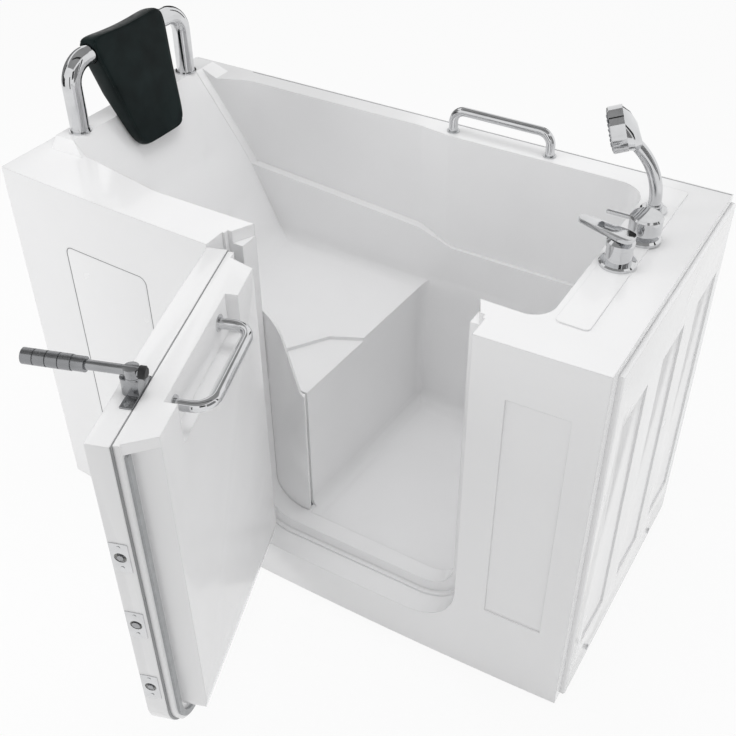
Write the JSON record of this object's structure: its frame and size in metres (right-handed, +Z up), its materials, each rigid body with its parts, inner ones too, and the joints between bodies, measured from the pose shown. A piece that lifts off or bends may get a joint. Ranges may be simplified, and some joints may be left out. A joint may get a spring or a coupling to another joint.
{
  "type": "walk-in bathtub",
  "caption": "Walk-in bathtub with an outward-swinging latched door, moulded seat, padded headrest, grab bars and deck taps with a hand shower.",
  "frame": {"origin": "on the floor under the middle of the tub, at the bottom of the middle foot", "axes": "+X along the tub towards the taps, +Y from the door towards the wall behind, +Z up"},
  "size_m": [1.3625, 1.1995, 1.1127],
  "materials": {
    "shell_white": "gloss moulded acrylic",
    "panel_white": "gloss moulded acrylic",
    "door_white": "gloss moulded acrylic",
    "seam_grey": "satin grey trim",
    "gasket_grey": "soft silicone",
    "frame_steel": "grey powder coat",
    "zinc": "zinc plated",
    "stainless": "satin stainless",
    "chrome": "polished",
    "satin_dark": "dark satin nickel",
    "grip_grey": "dark grey grip",
    "black_rubber": "matt black",
    "pad_black": "near-black green vinyl",
    "pipe_white": "white pipe",
    "nylon": "natural nylon",
    "brass": "turned brass",
    "copper": "bare copper pipe",
    "spray_grey": "grey spray plate"
  },
  "bodies": {
    "tub": {"tub_shell": "shell_white", "end_panel": "panel_white", "end_panel_screws": "chrome", "access_panel": "panel_white", "access_panel_clips": "zinc", "base_frame": "frame_steel", "levelling_feet": "zinc", "foot_nuts": "zinc", "drain_flange": "chrome", "waste_pipe": "pipe_white", "overflow_plate": "chrome", "overflow_pipe": "pipe_white", "strike_plates": "stainless", "hinge_leaves_jamb": "stainless", "hinge_pins": "stainless", "headrest_bar": "chrome", "headrest_flanges": "chrome", "grab_bar": "chrome", "grab_bar_flanges": "stainless", "bar_nuts": "zinc", "mixer_base": "chrome", "valve_base": "chrome", "shower_holder": "chrome", "tap_tails": "brass", "tap_nuts": "brass", "mixer_manifold": "brass", "valve_body": "brass", "fill_pipes": "copper"},
    "door": {"hinge_leaves_door": "stainless", "door_outer_skin": "door_white", "door_seam_trim": "seam_grey", "door_inner_pan": "door_white", "door_gasket": "gasket_grey", "door_handle": "chrome", "handle_rosettes": "chrome", "latch_base": "satin_dark", "latch_base_screws": "stainless", "latch_bushes": "nylon", "bolt_guides": "nylon", "faceplates": "chrome", "faceplate_screws": "chrome"},
    "latch": {"latch_shaft": "stainless", "latch_lever": "satin_dark", "latch_grip": "grip_grey", "latch_cap": "black_rubber"},
    "top_bolt": {"bolt_top": "satin_dark"},
    "middle_bolt": {"bolt_middle": "satin_dark"},
    "bottom_bolt": {"bolt_bottom": "satin_dark"},
    "headrest": {"headrest_sleeve": "nylon", "headrest_pad": "pad_black"},
    "mixer_turret": {"mixer_cap": "chrome"},
    "mixer_handle": {"mixer_lever": "chrome"},
    "valve_knob": {"valve_cap": "chrome"},
    "handset": {"hand_shower": "chrome", "shower_face": "spray_grey"},
    "plug": {"drain_plug": "chrome"}
  },
  "joints": [
    {"name": "door_swing", "type": "hinge", "parent": "tub", "child": "door", "pos_m": [-0.11493, -0.3544, 0.505], "axis": [0, 0, 1], "range_deg": [-37.8, 72.2]},
    {"name": "latch_turn", "type": "hinge", "parent": "door", "child": "latch", "pos_m": [0.05315, -0.74098, 0.896], "axis": [0, 0, -1], "range_deg": [0, 90]},
    {"name": "top_bolt_slide", "type": "slide", "parent": "door", "child": "top_bolt", "axis": [0.319, -0.9478, 0], "range_m": [0, 0.014]},
    {"name": "middle_bolt_slide", "type": "slide", "parent": "door", "child": "middle_bolt", "axis": [0.319, -0.9478, 0], "range_m": [0, 0.014]},
    {"name": "bottom_bolt_slide", "type": "slide", "parent": "door", "child": "bottom_bolt", "axis": [0.319, -0.9478, 0], "range_m": [0, 0.014]},
    {"name": "headrest_tilt", "type": "hinge", "parent": "tub", "child": "headrest", "pos_m": [-0.61, 0.018, 1.07], "axis": [0, -1, 0], "range_deg": [0, 75]},
    {"name": "mixer_swivel", "type": "hinge", "parent": "tub", "child": "mixer_turret", "pos_m": [0.566, -0.024, 0.9365], "axis": [0, 0, 1], "range_deg": [-30, 30]},
    {"name": "mixer_lift", "type": "hinge", "parent": "mixer_turret", "child": "mixer_handle", "pos_m": [0.566, -0.024, 0.9485], "axis": [0.225, 0.9744, 0], "range_deg": [0, 20]},
    {"name": "valve_turn", "type": "hinge", "parent": "tub", "child": "valve_knob", "pos_m": [0.578, 0.077, 0.9185], "axis": [0, 0, -1], "range_deg": [0, 90]},
    {"name": "handset_lift", "type": "slide", "parent": "tub", "child": "handset", "axis": [0, 0, 1], "range_m": [0, 0.15]},
    {"name": "plug_lift", "type": "slide", "parent": "tub", "child": "plug", "axis": [0, 0, 1], "range_m": [0, 0.008]}
  ],
  "couplings": [
    {"joint": "top_bolt_slide", "follows": "latch_turn", "m_per_rad": 0.008913},
    {"joint": "middle_bolt_slide", "follows": "latch_turn", "m_per_rad": 0.008913},
    {"joint": "bottom_bolt_slide", "follows": "latch_turn", "m_per_rad": 0.008913}
  ]
}
